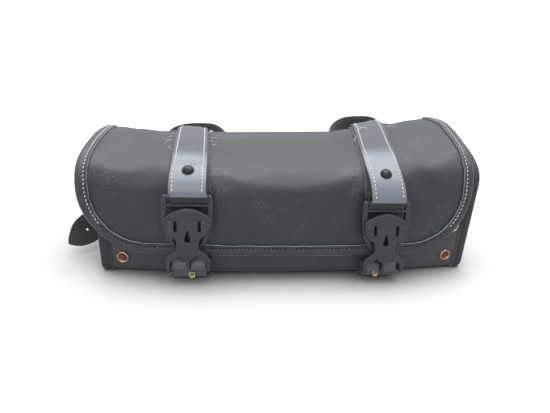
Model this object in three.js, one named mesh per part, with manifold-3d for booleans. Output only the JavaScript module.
// Motorcycle tail bag: a soft barrel tool bag with a wrap-over lid, two buckled front straps
// and two mounting straps behind. Millimetres, +Z up, +X to the bag's right, -Y to the front.
// The origin is on the flat base, at the middle of the body's length and depth.
import * as THREE from 'three';
import { mergeVertices } from 'three/addons/utils/BufferGeometryUtils.js';
import Module from 'manifold-3d';

const wasm = await Module();
wasm.setup();
const { Manifold, Mesh } = wasm;

// ---------- driving dimensions ----------
const BODY_HALF = 136;          // half length of the body sheet
const BODY_FRONT = -50;         // front face at the ends
const BODY_BACK = 50;           // back face
const BOTTOM_R = 6;             // bottom edge radius
const FRONT_TOP = 62;           // top edge of the front panel
const BACK_TOP = 73;            // top edge of the back panel
const SHEET = 2.4;              // leather sheet thickness
const LID_T = 2.6;              // lid thickness
const LID_LEFT = -146;          // lid's left edge
const LID_RIGHT = 129;          // lid's right edge
const LID_CORNER = 44;          // corner radius of the lid's flap
const LID_BOTTOM = 20;          // height of the lid's lower edge
const FOLD_Y = 42;              // fold line at the back of the lid
const FOLD_Z = 84;              // its height at X = 0
const FOLD_SLOPE = 0.03;        // it rises towards the right
const TAPE_W = 8;               // binding tape width
const TAPE_T = 0.8;             // binding tape thickness
const STRAP_HALF = 12.5;        // half width of an upper front strap
const STRAP_T = 2.2;            // its thickness
const LOWER_HALF = 11.5;        // half width of a lower front strap
const LOWER_T = 1.9;            // its thickness
const MOUNT_W = 23;             // mounting strap width
const MOUNT_T = 2.0;            // mounting strap thickness
const MOUNT_Z = 56;             // height of a mounting strap's middle at its slots
const ANCHOR_T = 1.1;           // anchor strap thickness

// midX: middle line; rise: how far the buckle stands above its drawn height;
// below: length of lid left below the strap.
const FRONT_STRAPS = [
  { side: 'left', midX: -72.5, rise: 1, below: 46.6 },
  { side: 'right', midX: 64.5, rise: -2.2, below: 43.6 },
];

// How the soft bag departs from a straight extrusion.
const BELLY = { depth: 9, half: 137, power: 2.2, maxShare: 1.15 }; // bulge of the front
const CROWN_Y = { start: -54, full: -3 };     // the crown's sag grows over this depth
const CROWN_Z = { start: 34, full: 72 };      // and over this height
const BACK_Y = { start: 24, full: 42 };       // the fold's slope replaces it over this depth
const BACK_Z = { start: 56, full: 80 };       // and takes hold over this height
// Rise of the crown along the bag: [x, rise].
const CROWN = [
  [-150, -1], [-146, -0.3], [-131, 1.3], [-119, 0.3], [-100, -1.7],
  [-47, -3.7], [-20, -2.7], [0, -1.7], [35, -0.4], [60, 3.6],
  [90, 9.3], [111, 13.3], [120, 14.3], [132, 13.5], [140, 13],
];

// ---------- small maths ----------
const vec = (x, y, z) => new THREE.Vector3(x, y, z);
const clamp = (value, low = 0, high = 1) => Math.min(high, Math.max(low, value));
const mix = (from, to, share) => from + (to - from) * share;
const around = (middle, half) => [middle - half, middle + half];
const spread = (from, to, steps) =>
  Array.from({ length: steps + 1 }, (_, i) => mix(from, to, i / steps));
function smooth(from, to, value) {
  const share = clamp((value - from) / (to - from));
  return share * share * (3 - 2 * share);
}
const ramp = ({ start, full }, value) => smooth(start, full, value);

function crownRise(x) {
  if (x <= CROWN[0][0]) return CROWN[0][1];
  const next = CROWN.findIndex(([stationX]) => x <= stationX);
  if (next < 0) return CROWN.at(-1)[1];
  const [x0, rise0] = CROWN[next - 1];
  const [x1, rise1] = CROWN[next];
  return mix(rise0, rise1, smooth(x0, x1, x));
}

// Moves a point of the straight bag to its place on the soft one.
function warp(x, y, z) {
  const bulge = -BELLY.depth * (1 - Math.pow(clamp(Math.abs(x) / BELLY.half), BELLY.power));
  const bulgeShare = clamp(y / BODY_FRONT, 0, BELLY.maxShare);
  const back = ramp(BACK_Y, y);
  const forward = Math.sqrt(clamp((y - CROWN_Y.start) / (CROWN_Y.full - CROWN_Y.start)));
  const crownShare = forward * ramp(CROWN_Z, z) * (1 - back);
  const slopeShare = back * ramp(BACK_Z, z);
  return vec(
    x,
    y + bulge * bulgeShare,
    z + crownRise(x) * crownShare + FOLD_SLOPE * x * slopeShare,
  );
}
const ringAt = (x, loop) => loop.map(([y, z]) => warp(x, y, z));

// Arc of [y, z] points, angles in degrees from +Y towards +Z.
function arc(midY, midZ, radius, from, to, steps) {
  return spread(from, to, steps).map((degrees) => {
    const angle = THREE.MathUtils.degToRad(degrees);
    return [midY + radius * Math.cos(angle), midZ + radius * Math.sin(angle)];
  });
}

// Moves a line of [y, z] points sideways: towards +Y where it runs up, -Y where it runs down.
function offsetLine(line, distance, closed) {
  const last = line.length - 1;
  return line.map(([y, z], i) => {
    const before = line.at(closed ? i - 1 : Math.max(0, i - 1));
    const after = line[closed ? (i + 1) % line.length : Math.min(last, i + 1)];
    const runY = after[0] - before[0];
    const runZ = after[1] - before[1];
    const scale = distance / Math.hypot(runY, runZ);
    return [y + scale * runZ, z - scale * runY];
  });
}

// A warped surface through a smoothed [y, z] profile. place(along, x, off) gives the point
// at an arc length along the profile, moved off along the normal; side picks the normal.
function surface(points, side) {
  const curve = points.map(([y, z]) => vec(0, y, z));
  const path = new THREE.CatmullRomCurve3(curve, false, 'centripetal').getPoints(400);
  const reach = [0];
  for (let i = 1; i < path.length; i++) {
    reach.push(reach[i - 1] + path[i].distanceTo(path[i - 1]));
  }
  const length = reach.at(-1);
  const flat = (along, x) => {
    let i = 1;
    while (i < reach.length - 1 && reach[i] < along) i++;
    const share = (along - reach[i - 1]) / (reach[i] - reach[i - 1]);
    const point = path[i - 1].clone().lerp(path[i], share);
    return warp(x, point.y, point.z);
  };
  const probe = 1.2; // half the span the normal is measured over
  const place = (along, x, off) => {
    const start = clamp(along - probe, 0, length - 2 * probe);
    const alongX = flat(along, x + probe).sub(flat(along, x - probe));
    const alongProfile = flat(start + 2 * probe, x).sub(flat(start, x));
    const normal = alongX.cross(alongProfile).normalize().multiplyScalar(side);
    return flat(along, x).addScaledVector(normal, off);
  };
  return { length, place };
}

// ---------- solids ----------
function signedVolume(positions, index) {
  const corner = (k) => vec(0, 0, 0).fromArray(positions, index[k] * 3);
  let total = 0;
  for (let i = 0; i < index.length; i += 3) {
    total += corner(i).dot(corner(i + 1).cross(corner(i + 2)));
  }
  return total / 6;
}

// Indexed geometry, turned so that its faces point outwards.
function solid(positions, index) {
  if (signedVolume(positions, index) < 0) {
    for (let i = 0; i < index.length; i += 3) {
      [index[i + 1], index[i + 2]] = [index[i + 2], index[i + 1]];
    }
  }
  const geometry = new THREE.BufferGeometry();
  geometry.setAttribute('position', new THREE.Float32BufferAttribute(positions, 3));
  geometry.setIndex(index);
  geometry.computeVertexNormals();
  return geometry;
}

// Closed slab between two equal grids of points.
function slab(top, bottom) {
  const rows = top.length;
  const cols = top[0].length;
  const positions = [top, bottom].flat(2).flatMap(({ x, y, z }) => [x, y, z]);
  const index = [];
  const upper = (i, j) => i * cols + j;
  const lower = (i, j) => rows * cols + upper(i, j);
  const quad = (a, b, c, d) => index.push(a, b, c, a, c, d);
  for (let i = 0; i < rows - 1; i++) {
    for (let j = 0; j < cols - 1; j++) {
      quad(upper(i, j), upper(i, j + 1), upper(i + 1, j + 1), upper(i + 1, j));
      quad(lower(i, j), lower(i + 1, j), lower(i + 1, j + 1), lower(i, j + 1));
    }
  }
  const endCol = cols - 1;
  for (let i = 0; i < rows - 1; i++) {
    quad(upper(i, 0), upper(i + 1, 0), lower(i + 1, 0), lower(i, 0));
    quad(upper(i + 1, endCol), upper(i, endCol), lower(i, endCol), lower(i + 1, endCol));
  }
  const endRow = rows - 1;
  for (let j = 0; j < cols - 1; j++) {
    quad(upper(0, j + 1), upper(0, j), lower(0, j), lower(0, j + 1));
    quad(upper(endRow, j), upper(endRow, j + 1), lower(endRow, j + 1), lower(endRow, j));
  }
  return solid(positions, index);
}
// Slab over a rectangle, between two values of the third argument of place(row, col, level).
function slabOver(rows, cols, place, topLevel, bottomLevel) {
  const grid = (level) => rows.map((row) => cols.map((col) => place(row, col, level)));
  return slab(grid(topLevel), grid(bottomLevel));
}

// Solid swept through equal rings of points, capped unless it closes on itself.
function loft(rings, closed = false) {
  const size = rings[0].length;
  const positions = rings.flat().flatMap(({ x, y, z }) => [x, y, z]);
  const index = [];
  for (let i = 0; i < (closed ? rings.length : rings.length - 1); i++) {
    const base = i * size;
    const nextBase = ((i + 1) % rings.length) * size;
    for (let j = 0; j < size; j++) {
      const next = (j + 1) % size;
      index.push(base + j, base + next, nextBase + next);
      index.push(base + j, nextBase + next, nextBase + j);
    }
  }
  if (closed) return solid(positions, index);
  const cap = (ring, base, isLast) => {
    const arms = ring.map((point) => point.clone().sub(ring[0]));
    const axisU = arms[1].clone().normalize();
    const normal = vec(0, 0, 0);
    arms.forEach((arm, j) => normal.add(arm.clone().cross(arms[(j + 1) % size])));
    const axisV = normal.normalize().cross(axisU);
    const flat = arms.map((arm) => new THREE.Vector2(arm.dot(axisU), arm.dot(axisV)));
    for (const [a, b, c] of THREE.ShapeUtils.triangulateShape(flat, [])) {
      if (isLast) index.push(base + a, base + b, base + c);
      else index.push(base + a, base + c, base + b);
    }
  };
  cap(rings[0], 0, false);
  cap(rings.at(-1), (rings.length - 1) * size, true);
  return solid(positions, index);
}

// Stations along a path; across is the width direction, blended between the given ones.
function stations(points, widths, step) {
  const path = new THREE.CatmullRomCurve3(points, false, 'centripetal');
  const widthCurve = new THREE.CatmullRomCurve3(widths, false, 'centripetal');
  path.arcLengthDivisions = 800;
  const count = Math.max(8, Math.round(path.getLength() / step));
  return spread(0, 1, count).map((share) => {
    const at = path.getUtoTmapping(share);
    const tangent = path.getTangent(at);
    const across = widthCurve.getPoint(at).normalize();
    across.addScaledVector(tangent, -across.dot(tangent)).normalize();
    const normal = across.clone().cross(tangent).normalize();
    return { point: path.getPoint(at), across, normal };
  });
}
// A flat band through stations, thickened along their normals.
function band(path, width, thickness) {
  return loft(path.map(({ point, across, normal, taper = 1 }) => {
    const half = across.clone().multiplyScalar(width / 2 * taper);
    const depth = normal.clone().multiplyScalar(thickness);
    const low = point.clone().sub(half);
    const high = point.clone().add(half);
    return [low, high, high.clone().add(depth), low.clone().add(depth)];
  }));
}

function toManifold(geometry) {
  if (geometry.userData.solid) return geometry.userData.solid;
  const bare = geometry.clone();
  bare.deleteAttribute('normal');
  bare.deleteAttribute('uv');
  const merged = mergeVertices(bare, 1e-4);
  return new Manifold(new Mesh({
    numProp: 3,
    vertProperties: new Float32Array(merged.attributes.position.array),
    triVerts: new Uint32Array(merged.index.array),
  }));
}
function fromManifold(result) {
  const mesh = result.getMesh();
  const geometry = solid(Array.from(mesh.vertProperties), Array.from(mesh.triVerts));
  geometry.userData.solid = result; // a chained cut or join starts from the solid itself
  return geometry;
}
const join = (...parts) =>
  fromManifold(parts.map(toManifold).reduce((a, b) => Manifold.union(a, b)));
const cut = (...parts) =>
  fromManifold(parts.map(toManifold).reduce((a, b) => Manifold.difference(a, b)));

function box([x0, x1], [y0, y1], [z0, z1]) {
  const geometry = new THREE.BoxGeometry(x1 - x0, y1 - y0, z1 - z0);
  return geometry.translate((x0 + x1) / 2, (y0 + y1) / 2, (z0 + z1) / 2);
}
// An [x, z] outline standing between two y planes.
function plate(outline, [y0, y1], holes = []) {
  const toPoints = (line) => line.map(([x, z]) => new THREE.Vector2(x, z));
  const points = toPoints(outline);
  if (THREE.ShapeUtils.isClockWise(points)) points.reverse();
  const shape = new THREE.Shape(points);
  for (const hole of holes) shape.holes.push(new THREE.Path(toPoints(hole)));
  const geometry = new THREE.ExtrudeGeometry(shape, { depth: y1 - y0, bevelEnabled: false });
  geometry.rotateX(Math.PI / 2); // the shape's y becomes z, its depth runs to -y
  return geometry.translate(0, y1, 0);
}
// Round bar along X.
function rod(radius, [x0, x1], y, z, segments = 16) {
  const geometry = new THREE.CylinderGeometry(radius, radius, x1 - x0, segments);
  geometry.rotateZ(Math.PI / 2);
  return geometry.translate((x0 + x1) / 2, y, z);
}
// Lathe about +Y through [radius, y] points.
function disc(profile, segments = 18) {
  return new THREE.LatheGeometry(profile.map((point) => new THREE.Vector2(...point)), segments);
}
function rivet(profile, base, direction) {
  const turn = new THREE.Quaternion().setFromUnitVectors(vec(0, 1, 0), direction);
  return disc(profile).applyQuaternion(turn).translate(base.x, base.y, base.z);
}

// ---------- scene graph ----------
const bag = new THREE.Group();
bag.name = 'tail_bag';
const lidGroup = new THREE.Group();
const materials = {
  leather: { color: 0x3a3c40, roughness: 0.45, metalness: 0 },
  leather_strap: { color: 0x46494e, roughness: 0.35, metalness: 0 },
  webbing: { color: 0x2c2c2f, roughness: 0.9, metalness: 0 },
  tape: { color: 0x3c3e42, roughness: 0.5, metalness: 0 },
  board: { color: 0x6b5d4a, roughness: 0.95, metalness: 0 },
  buckle_plastic: { color: 0x2b2b2f, roughness: 0.5, metalness: 0 },
  black_metal: { color: 0x1c1c1e, roughness: 0.3, metalness: 0.9 },
  copper: { color: 0xb87350, roughness: 0.3, metalness: 1 },
  brass: { color: 0xd1ab55, roughness: 0.3, metalness: 1 },
  steel: { color: 0x8b8d90, roughness: 0.35, metalness: 1 },
};
for (const [name, look] of Object.entries(materials)) {
  materials[name] = new THREE.MeshStandardMaterial({ name, ...look });
}
function add(name, geometry, material, parent = bag) {
  const mesh = new THREE.Mesh(geometry, materials[material]);
  mesh.name = name;
  parent.add(mesh);
}

// ---------- slots in the back for the mounting straps ----------
// slotX: the strap's first slot; loopRise: how high its loop climbs behind the bag.
// tail: path past the keeper, as [x from heel bar, y, z from MOUNT_Z, width direction x, y, z].
const MOUNTS = [
  {
    side: 'left', slotX: -49, loopRise: 14,
    tail: [
      [-20, 61.8, -1, 0, 0, 1], [-28.5, 55.5, -4, 0, 0, 1],
      [-31.8, 42, -9, 0, -0.1, 1], [-32, 20, -18, 0, -0.25, 1],
      [-34, 0, -27.5, -0.1, -0.3, 1], [-38, -14, -35.7, -0.35, -0.15, 0.9],
      [-45, -22, -42.1, -0.64, 0, 0.77], [-52.5, -25.5, -47, -0.72, 0, 0.69],
    ],
  },
  {
    side: 'right', slotX: 103, loopRise: 23,
    tail: [
      [-28, 61.6, -1.5, -0.02, 0, 1], [-44, 60, -5, -0.12, 0, 1],
      [-58, 58.6, -10, -0.25, 0, 1], [-70, 57, -15, -0.34, 0, 1],
    ],
  },
];
const SLOT_PITCH = 75;          // from a strap's first slot to its second
const slotY = [40, 60];
const slotZ = around(MOUNT_Z, 12.7);
const slotCuts = () => MOUNTS.flatMap(({ slotX }) => [
  box([slotX - 4.2, slotX + 2.4], slotY, slotZ),
  box(around(slotX - SLOT_PITCH, 1.9), slotY, slotZ),
]);

// ---------- body sheet: front, bottom and back in one wrap ----------
function wrapPath(depth) {
  const radius = BOTTOM_R - depth;
  const front = BODY_FRONT + depth;
  const back = BODY_BACK - depth;
  return [
    ...spread(FRONT_TOP, BOTTOM_R, 5).map((z) => [front, z]),
    ...arc(front + radius, BOTTOM_R, radius, 180, 270, 5).slice(1),
    ...spread(front + radius, back - radius, 5).slice(1, -1).map((y) => [y, depth]),
    ...arc(back - radius, BOTTOM_R, radius, 270, 360, 5),
    ...spread(BOTTOM_R, BACK_TOP, 5).slice(1).map((z) => [back, z]),
  ];
}
function addBody() {
  const grid = (path) => spread(-BODY_HALF, BODY_HALF, 16).map((x) => ringAt(x, path));
  const sheet = slab(grid(wrapPath(0)), grid(wrapPath(SHEET)));
  add('body_panel', cut(sheet, ...slotCuts()), 'leather');
}

// ---------- stiffener boards inside the leather ----------
function addBoards() {
  const half = 124;
  const length = spread(-half, half, 10);
  add('base_board', slabOver(length, spread(-41, 38, 4), warp, 4.9, 3.0), 'board');
  const upright = (x, z, y) => warp(x, y, z);
  add('front_board', slabOver(length, spread(8, 62, 3), upright, -46.9, -45.2), 'board');
  add('back_board', box([-half, half], [40, 42], [8, 70]), 'board');
}

// ---------- end panels and the tape over their seams ----------
const END_IN = 126.8;           // inner face of the end panels
const END_STEP = 131.5;         // middle ring of the outer wall
const END_WALL = 2.2;           // thickness of the flat panel
const LIP_GAP = 0.5;            // between the body sheet and the panel's lip
const LIP_T = 1.5;              // thickness of the lip
const TAPE_GAP = 0.35;          // between the tape and what it wraps
const TAPE_REACH = 137.2;       // the tape's width is measured inwards from here
// End outline as [y, z]: up the front, over the crown, down the back, then under the bottom.
const END_LOOP = [
  [-50, 9], [-50, 24], [-50, 40], [-50, 56], [-50, 63], [-49.3, 69], [-46.8, 73],
  [-42.5, 75.6], [-36, 77.8], [-27, 79.9], [-16, 81.6], [-2, 82.8], [12, 83.0], [24, 82.0],
  [33, 80.8], [41, 79.4], [47, 77], [50, 73.6], [50, 50], [50, 30], [50, 9],
  ...arc(BODY_BACK - BOTTOM_R, BOTTOM_R, BOTTOM_R, 0, -90, 4).slice(1),
  [14, 0], [-14, 0],
  ...arc(BODY_FRONT + BOTTOM_R, BOTTOM_R, BOTTOM_R, -90, -180, 4).slice(0, -1),
];
function addEnd(side, sign) {
  const inset = (distance) => offsetLine(END_LOOP, distance, true);
  // a shallow tray: flat panel with its lip turned outwards
  const outer = inset(SHEET + LIP_GAP);
  const inner = inset(SHEET + LIP_GAP + LIP_T);
  add(`end_panel_${side}`, loft([
    ...[END_IN, END_STEP, BODY_HALF].map((x) => ringAt(sign * x, outer)),
    ...[BODY_HALF, END_IN + END_WALL].map((x) => ringAt(sign * x, inner)),
  ]), 'leather');

  const tapeDepth = SHEET + LIP_GAP + LIP_T + TAPE_GAP;
  const bodySide = inset(-TAPE_GAP);
  const bodySideOut = inset(-TAPE_GAP - TAPE_T);
  const lipSide = inset(tapeDepth);
  const lipSideOut = inset(tapeDepth + TAPE_T);
  const edgeX = sign * (TAPE_REACH - TAPE_W);
  const foldIn = sign * (BODY_HALF + TAPE_GAP);
  const foldOut = sign * (BODY_HALF + TAPE_GAP + TAPE_T);
  const section = [
    [bodySideOut, edgeX], [bodySideOut, foldOut], [lipSideOut, foldOut], [lipSideOut, edgeX],
    [lipSide, edgeX], [lipSide, foldIn], [bodySide, foldIn], [bodySide, edgeX],
  ];
  const rings = END_LOOP.map((_, k) => section.map(([loop, x]) => warp(x, ...loop[k])));
  add(`end_binding_${side}`, loft(rings, true), 'tape');
}

// ---------- lid ----------
// Outer face as [y, z], from the fold over the crown and down the front.
const { length: LID_LENGTH, place: lid } = surface([
  [FOLD_Y, FOLD_Z + LID_T / 2], [36.5, 86.9], [30, 88.6], [20, 89.8], [6, 90.2],
  [-10, 89.2], [-22, 87.4], [-33, 85.2], [-42.8, 81.8], [-50.2, 76.4],
  [-54.0, 69.0], [-55.1, 58.5], [-55.9, 46], [-56.3, 34], [-56.5, LID_BOTTOM],
], -1);
const LID_START = 2.6;          // where the sheet begins, along the profile
const LID_EDGE_IN = 1.3;        // the sheet stops just short of the tape's fold
const CORNER_START = LID_LENGTH - LID_CORNER;
const lidSideRows = spread(LID_START, CORNER_START, 15);
const lidCornerRows = spread(0, Math.PI / 2, 9).slice(1)
  .map((angle) => CORNER_START + (LID_CORNER - LID_EDGE_IN) * Math.sin(angle));

// The sheet's left and right edges at a distance along it.
function lidEdges(along) {
  const remaining = Math.max(LID_LENGTH - LID_EDGE_IN - along, 0.0005);
  const radius = LID_CORNER - LID_EDGE_IN;
  let trim = LID_EDGE_IN;
  if (remaining < radius) trim += radius - Math.sqrt(radius ** 2 - (radius - remaining) ** 2);
  return [LID_LEFT + trim, LID_RIGHT - trim];
}
function addLidPanel() {
  const tapeIn = TAPE_W - LID_EDGE_IN;
  const grid = (off) => [...lidSideRows, ...lidCornerRows].map((along) => {
    const [left, right] = lidEdges(along);
    const columns = [left, ...spread(left + tapeIn, right - tapeIn, 18), right];
    return columns.map((x) => lid(along, x, off));
  });
  add('lid_panel', slab(grid(0), grid(-LID_T)), 'leather', lidGroup);
}

// Tape folded over the flap's edge: down the left side, along the bottom and up the right.
function addLidBinding() {
  const gap = 0.5;              // between the tape and each face of the lid
  const foldDepth = 0.7;        // inside of the fold, in from the edge
  const startShift = 0.4;       // the tape starts this much past the sheet
  // each entry: [x, along, inward direction in x, inward direction along]
  const flapSide = (edgeX, inward) => [
    ...lidSideRows.map((along, i) => [edgeX, along + (i ? 0 : startShift), inward, 0]),
    ...spread(0, Math.PI / 2, 9).slice(1, -1).map((angle) => [
      edgeX + inward * LID_CORNER * (1 - Math.cos(angle)),
      CORNER_START + LID_CORNER * Math.sin(angle),
      inward * Math.cos(angle),
      -Math.sin(angle),
    ]),
  ];
  const outline = [
    ...flapSide(LID_LEFT, 1),
    ...spread(LID_LEFT + LID_CORNER, LID_RIGHT - LID_CORNER, 12)
      .map((x) => [x, LID_LENGTH, 0, -1]),
    ...flapSide(LID_RIGHT, -1).reverse(),
  ];
  const top = gap;
  const under = -LID_T - gap;
  // section as [distance in from the edge, offset from the lid's outer face]
  const section = [
    [TAPE_W, top], [TAPE_W, top + TAPE_T], [0, top + TAPE_T], [0, under - TAPE_T],
    [TAPE_W, under - TAPE_T], [TAPE_W, under], [foldDepth, under], [foldDepth, top],
  ];
  const rings = outline.map(([x, along, inX, inAlong]) => section.map(
    ([inward, off]) => lid(along + inAlong * inward, x + inX * inward, off),
  ));
  add('lid_binding', loft(rings), 'tape', lidGroup);
}

// The lid sheet's fixed tail, down the back below the fold.
function addBackStrip() {
  const strip = surface([
    [45.2, FOLD_Z - 0.4], [48.6, 82.2], [51.4, 79], [52.8, 75], [53, 70], [53, 52],
  ], 1);
  const rows = spread(0, strip.length, 7);
  const sheet = slabOver(rows, spread(-128.5, 126.5, 12), strip.place, 0, -SHEET);
  add('lid_back_strip', cut(sheet, ...slotCuts()), 'leather');
}

// ---------- front straps, on the lid ----------
const STRAP_START = 14;         // upper end, along the lid
const UNDERLAY_MARGIN = 2.2;    // the underlay shows this much each side of the strap
const BUCKLE_Y = -69.6;         // depth of the buckles' middle plane
const BAR_BELOW_END = 2.6;      // buckle's upper bar below the strap's end
// Domed rivet as [radius, height].
const STRAP_RIVET = [[0, 0], [4.2, 0], [4.2, 0.5], [3.6, 1.5], [2.3, 2.2], [0, 2.5]];

// Returns the height of the buckle bar that the strap folds round.
function addFrontStrap({ side, midX, below }) {
  const end = LID_LENGTH - below;
  const rows = spread(STRAP_START, end, 17);
  const underlayX = spread(...around(midX, STRAP_HALF + UNDERLAY_MARGIN), 3);
  const underlay = slabOver(rows, underlayX, lid, 1.3, 0.5);
  add(`strap_underlay_${side}`, underlay, 'webbing', lidGroup);

  // the strap stands further off the lid as it nears the buckle
  const lift = (along) => 1.75 + 2.4 * smooth(end - 16, end, along);
  const onStrap = (along, x, off) => lid(along, x, lift(along) + off);
  const upper = slabOver(rows, spread(...around(midX, STRAP_HALF), 3), onStrap, STRAP_T, 0);
  const endPoint = onStrap(end, midX, 0);
  const barZ = endPoint.z - BAR_BELOW_END;
  const eye = rod(4.0, around(midX, STRAP_HALF), BUCKLE_Y, barZ, 20);
  const neckY = [BUCKLE_Y - 2.2, endPoint.y - 1.0];
  const neck = box(around(midX, STRAP_HALF - 0.01), neckY, [barZ + 1, barZ + 4.4]);
  const bore = rod(2.1, around(midX, 20), BUCKLE_Y, barZ, 20);
  add(`front_strap_${side}`, cut(join(upper, eye, neck), bore), 'leather_strap', lidGroup);

  const rivetAlong = end - 12;
  const base = onStrap(rivetAlong, midX, STRAP_T + 0.35);
  const direction = onStrap(rivetAlong, midX, STRAP_T + 1.35).sub(base).normalize();
  add(`strap_rivet_${side}`, rivet(STRAP_RIVET, base, direction), 'black_metal', lidGroup);
  return barZ;
}

// ---------- side-release buckles ----------
// Drawn about the buckle's own middle (x = 0) at its usual height, then moved to the strap.
const SOCKET_TOP = 57;          // top of the socket's front face
const LOWER_BAR_Z = 12.6;       // lower bar, before the buckle is raised
const LOWER_BAR_Y = BUCKLE_Y + 4.2;
const FACE_Y = [BUCKLE_Y - 3.8, BUCKLE_Y - 1.6];
const REAR_Y = [BUCKLE_Y + 1.6, BUCKLE_Y + 2.8];
const BAR_R = 1.6;
// Spring arm as [x, z]: down the outer edge, round the foot and up the inner edge.
const ARM = [
  [12.2, 51.2], [12.4, 44], [12.8, 37], [12.2, 31.5], [9.8, 27.8],
  [8.2, 28.6], [9.4, 33], [9.6, 38], [9.6, 44], [9.4, 51.2],
];
// Right halves of the socket's front and rear plates as [x, z], from the top down.
const FACE_HALF = [
  [0, SOCKET_TOP], [4.5, 56.1], [8.5, 54.5], [12, 52.4], [14.6, 50.6], [15.4, 50],
  [15.2, 45], [14.0, 41], [11.6, 38.2], [8.8, 36.4], [7.6, 33.6], [7.2, 30],
  [7.6, 27.4], [9.6, 24.9], [12.4, 22.6], [14.2, 20], [14.7, 17], [14.4, 13.6],
  [12.6, 12.4], [12.4, 16.4], [11.6, 18.6], [8.2, 20.6], [5.4, 22.4], [0, 17.9],
];
const REAR_HALF = [
  [0, 51], [12, 51], [13.4, 48], [13.8, 40], [12.8, 33],
  [10, 27.6], [7, 25], [7.4, 22.6], [0, 22],
];
const POST_HALF = [[0, 24], [1.6, 24], [1.5, 13.5], [0, 13.5]];
// Openings through the front plate: a slot each side and a keyhole between them.
const FACE_SLOT = [[6.8, 48], [8.6, 48], [8.6, 40.4], [6.8, 40.4]];
const KEYHOLE = [[-0.7, 41.3], [0.7, 41.3], [2, 35.2], [1.2, 33.4], [-1.2, 33.4], [-2, 35.2]];
const mirror = (line, sign) => line.map(([x, z]) => [x * sign, z]);
const bothHalves = (half) => [...half, ...mirror(half.filter(([x]) => x !== 0).reverse(), -1)];

// Male half: two legs, the upper bar and a cross bar.
function bucklePlug(barZ) {
  const legY = [BUCKLE_Y - 1.9, BUCKLE_Y + 1.8];
  const legZ = [SOCKET_TOP - 5.4, barZ + 1.5];
  return join(
    ...[-1, 1].map((sign) => box(around(sign * 14.6, 1.2), legY, legZ)),
    rod(BAR_R, around(0, 15), BUCKLE_Y, barZ),
    box(around(0, 15), [BUCKLE_Y - 1.7, BUCKLE_Y + 0.9], [SOCKET_TOP + 0.7, SOCKET_TOP + 2.1]),
  );
}

// Female half: two plates with walls between, and shoulders that carry the lower bar.
function buckleSocket() {
  const [faceFront, faceBack] = FACE_Y;
  const [rearFront] = REAR_Y;
  const wallY = [faceBack - 0.3, rearFront + 0.3];
  const cheekY = [faceFront + 0.5, LOWER_BAR_Y + 1.9];
  const postPlateY = [faceFront + 0.4, faceBack + 0.2];
  const postY = [faceFront + 0.6, LOWER_BAR_Y + 1.0];
  const slots = [-1, 1].map((sign) => mirror(FACE_SLOT, sign));
  return join(
    plate(bothHalves(FACE_HALF), FACE_Y, [...slots, KEYHOLE]),
    plate(bothHalves(REAR_HALF), REAR_Y),
    ...[-1, 1].map((sign) => box(around(sign * 5.4, 1), wallY, [24, 47])),
    box(around(0, 6.3), [faceBack - 0.4, rearFront + 0.4], [22.6, 26.4]),
    ...[1, -1].map((sign) => box(around(sign * 13.5, 1), cheekY, [LOWER_BAR_Z - 1.9, 17.0])),
    rod(BAR_R, around(0, 14), LOWER_BAR_Y, LOWER_BAR_Z),
    join(
      plate(bothHalves(POST_HALF), postPlateY),
      box(around(0, 1.3), postY, [LOWER_BAR_Z - 0.9, 16.4]),
    ),
  );
}

function addBuckle({ side, midX, rise }, barZ) {
  const settle = (geometry) => geometry.translate(midX, 0, rise);
  const plug = settle(bucklePlug(barZ - rise));
  add(`buckle_plug_${side}`, plug, 'buckle_plastic', lidGroup);
  const outward = Math.sign(midX);
  for (const [which, sign] of [['outer', outward], ['inner', -outward]]) {
    const arm = settle(plate(mirror(ARM, sign), around(BUCKLE_Y, 1.1)));
    add(`buckle_arm_${side}_${which}`, arm, 'buckle_plastic', lidGroup);
  }
  add(`buckle_socket_${side}`, settle(buckleSocket()), 'buckle_plastic');
}

// ---------- lower front straps ----------
const LOOP_R = 2.3;             // inside radius of the loop round the lower bar
const INNER_GAP = 0.6;          // body to the inner layer
const OUTER_GAP = 1.2;          // body to the outer layer, less the inner layer's thickness
const STRAP_FOOT = 1.2;         // lower ends of both layers
const BRASS_RIVET = [[0, 0], [2.5, 0], [2.5, 0.6], [2.0, 1.2], [1.1, 1.0], [0, 0.6]];

// Short strap doubled round the lower bar, split for the post and riveted to the body.
function addLowerStrap({ side, midX, rise }) {
  const rootY = warp(Math.abs(midX) - LOWER_HALF, BODY_FRONT, 4).y;
  const innerY = rootY - INNER_GAP - LOWER_T;
  const outerY = rootY - OUTER_GAP - LOWER_T;
  const sink = Math.min(0, rise);
  const inside = [
    [innerY, STRAP_FOOT], [innerY, 6.6 + sink],
    ...arc(LOWER_BAR_Y, LOWER_BAR_Z + rise, LOOP_R, 15, 232, 10),
    [outerY, 7.6 + 0.4 * sink], [outerY, STRAP_FOOT],
  ];
  const outside = offsetLine(inside, LOWER_T, false).map(([y, z]) => [y, Math.max(1.0, z)]);
  const loop = [...inside, ...outside.reverse()];
  const doubled = loft(around(midX, LOWER_HALF).map((x) => loop.map(([y, z]) => vec(x, y, z))));
  // the two layers meet at the rivet
  const bridge = box(around(midX, 5), [outerY - 0.5, innerY + 0.5], [1.6, 5.4]);
  // the split lets the post through, and runs on down in front of the bar
  const splitX = around(midX, 2.3);
  const splitFront = LOWER_BAR_Y - 14;
  const strap = cut(
    join(doubled, bridge),
    box(splitX, [splitFront, LOWER_BAR_Y + 5.2], [9.4 + rise, 20 + rise]),
    box(splitX, [splitFront, LOWER_BAR_Y + 1.9], [6.0 + rise, 9.41 + rise]),
  );
  add(`lower_strap_${side}`, strap, 'leather_strap');

  const head = disc(BRASS_RIVET, 16);
  head.rotateX(Math.PI); // its head faces -Y
  head.translate(midX + (midX < 0 ? 1.4 : -1.8), outerY - LOWER_T - 0.35, 2.85);
  add(`brass_rivet_${side}`, head, 'brass');
}

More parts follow.
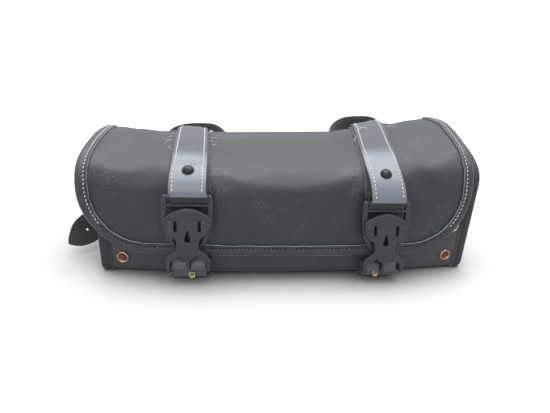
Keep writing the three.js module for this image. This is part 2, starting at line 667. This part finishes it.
// ---------- copper rivets at the body's front corners ----------
const CORNER_RIVET = [[0, 0], [4.4, 0], [4.4, 0.45], [3.6, 0.95], [2.6, 0.6], [0, 0.45]];
// [name, x, z]
const CORNER_RIVETS = [
  ['lower_left', -120.5, 12], ['upper_left', -121, 38],
  ['lower_right', 120.5, 12.4], ['upper_right', 122.5, 36],
];
function addCornerRivet([name, x, z]) {
  const alongX = warp(x + 1, BODY_FRONT, z).sub(warp(x - 1, BODY_FRONT, z));
  const normal = alongX.cross(vec(0, 0, 1)).normalize();
  const base = warp(x, BODY_FRONT, z).addScaledVector(normal, 0.4);
  add(`corner_rivet_${name}`, rivet(CORNER_RIVET, base, normal), 'copper');
}

// ---------- mounting straps behind ----------
// Each comes out of its first slot, loops behind the bag, passes under the far bar of its
// buckle, over the heel bar that the short anchor strap holds, through a keeper, and ends
// in a free tail.
const FRAME_Y = 58.3;           // depth of the buckle frame's middle
const FAR_BAR = 54;             // first slot to the far bar
const BAR_PITCH = 12;           // far bar to the heel bar
const MOUNT_STEP = 4.2;         // station spacing along a mounting strap
const ANCHOR_STEP = 1.9;        // and along an anchor strap
// Strap path in three runs, as [x from the run's start, y, share of the loop's rise].
const FROM_SLOT = [
  [-14, 44.5, 0], [-5, 44.5, 0], [-1.3, 45.6, 0], [0, 49.4, 0], [0, 54.5, 0],
  [-0.5, 60, 0.06], [-3.2, 67, 0.6], [-12.5, 74, 1.04], [-26, 77, 1.16],
  [-39.5, 76, 1.08], [-48, 71.5, 0.78], [-50.5, 66.3, 0.36],
];
const FROM_FAR_BAR = [
  [5.2, 61.2, 0.07], [2.8, 57.1, 0], [0, 56.4, 0], [-2.8, 57.2, 0], [-6, 60.6, 0],
];
const FROM_HEEL_BAR = [[3, 63.3, 0], [0, 63.8, 0], [-8, 63.2, 0], [-14, 62.8, 0]];
// Anchor path in two runs, as [x from the run's start, y].
const ANCHOR_AT_SLOT = [
  [13, 45.8], [4, 45.8], [0.7, 47.2], [0.6, 50.5], [1.5, 53.8], [4.4, 54.9],
];
const ANCHOR_AT_HEEL = [
  [-1, 55.3], [1.9, 56.2], [2.9, 58.3], [1.9, 60.4], [-0.6, 61.2], [-5.5, 61.2],
];

function roundTip(path) {
  path.forEach((station, i) => {
    const remaining = (path.length - 1 - i) * MOUNT_STEP / (MOUNT_W / 2);
    if (remaining < 1) station.taper = Math.max(0.4, Math.sqrt(1 - (1 - remaining) ** 2));
  });
  return path;
}

// Prong: a ring round the heel bar and a tongue lying on the far bar.
function prong(heelX, farX) {
  const shape = new THREE.Shape();
  shape.absarc(0, 0, 2.9, 0, Math.PI * 2, false);
  const bore = new THREE.Path();
  bore.absarc(0, 0, 1.75, 0, Math.PI * 2, true);
  shape.holes.push(bore);
  const width = 2.4;
  const options = { depth: width, bevelEnabled: false, curveSegments: 10 };
  const ring = new THREE.ExtrudeGeometry(shape, options);
  ring.translate(heelX, FRAME_Y, MOUNT_Z - width / 2);
  const tongueY = [FRAME_Y + 1.35, FRAME_Y + 2.6];
  return join(ring, box([heelX + 2.2, farX + 1.6], tongueY, around(MOUNT_Z, 1.1)));
}

function addMount({ side, slotX, loopRise, tail }) {
  const farX = slotX - FAR_BAR;
  const heelX = farX - BAR_PITCH;
  const run = (startX, rows) => rows.map(
    ([x, y, share = 0]) => vec(startX + x, y, MOUNT_Z + loopRise * share),
  );
  const upright = (points) => points.map(() => vec(0, 0, 1));
  const prongZ = around(MOUNT_Z, 1.9);

  const fixed = [
    ...run(slotX, FROM_SLOT), ...run(farX, FROM_FAR_BAR), ...run(heelX, FROM_HEEL_BAR),
  ];
  const points = [...fixed, ...tail.map(([x, y, z]) => vec(heelX + x, y, MOUNT_Z + z))];
  const widths = [...upright(fixed), ...tail.map((row) => vec(...row.slice(3)))];
  const path = roundTip(stations(points, widths, MOUNT_STEP));
  const strapHole = box([heelX + 1.5, farX - 2.6], [50, 66], prongZ);
  add(`mount_strap_${side}`, cut(band(path, MOUNT_W, MOUNT_T), strapHole), 'webbing');

  // anchor strap: out of the second slot, round the heel bar and back
  const line = [...run(slotX - SLOT_PITCH, ANCHOR_AT_SLOT), ...run(heelX, ANCHOR_AT_HEEL)];
  const anchor = band(stations(line, upright(line), ANCHOR_STEP), MOUNT_W, ANCHOR_T);
  const anchorHole = box([heelX - 3.6, heelX + 6], [50, 64], prongZ);
  add(`anchor_strap_${side}`, cut(anchor, anchorHole), 'webbing');

  // frame: four bars in one upright plane
  const sideBar = (zRange) => box([heelX, farX], around(FRAME_Y, 0.95), zRange);
  const endBar = (x) => box(around(x, 1), around(FRAME_Y, 1), around(MOUNT_Z, 14.9));
  add(`strap_buckle_${side}`, join(
    sideBar([MOUNT_Z - 14.8, MOUNT_Z - 12.6]),
    sideBar([MOUNT_Z + 12.6, MOUNT_Z + 14.8]),
    endBar(heelX),
    endBar(farX),
  ), 'steel');
  add(`buckle_prong_${side}`, prong(heelX, farX), 'steel');

  // keeper: a loose loop round the strap
  const keeperX = heelX - 12.5;
  add(`strap_keeper_${side}`, cut(
    box(around(keeperX, 2.6), [58.6, 66.0], around(MOUNT_Z, 14)),
    box(around(keeperX, 5), [59.8, 64.8], around(MOUNT_Z, 12.6)),
  ), 'leather_strap');
}

// ---------- assembly ----------
addBody();
addBoards();
addEnd('left', -1);
addEnd('right', 1);
bag.add(lidGroup);
addLidPanel();
addLidBinding();
addBackStrip();
const barHeights = FRONT_STRAPS.map(addFrontStrap);
FRONT_STRAPS.forEach((strap, i) => {
  addBuckle(strap, barHeights[i]);
  addLowerStrap(strap);
});
CORNER_RIVETS.forEach(addCornerRivet);
MOUNTS.forEach(addMount);

export default bag;
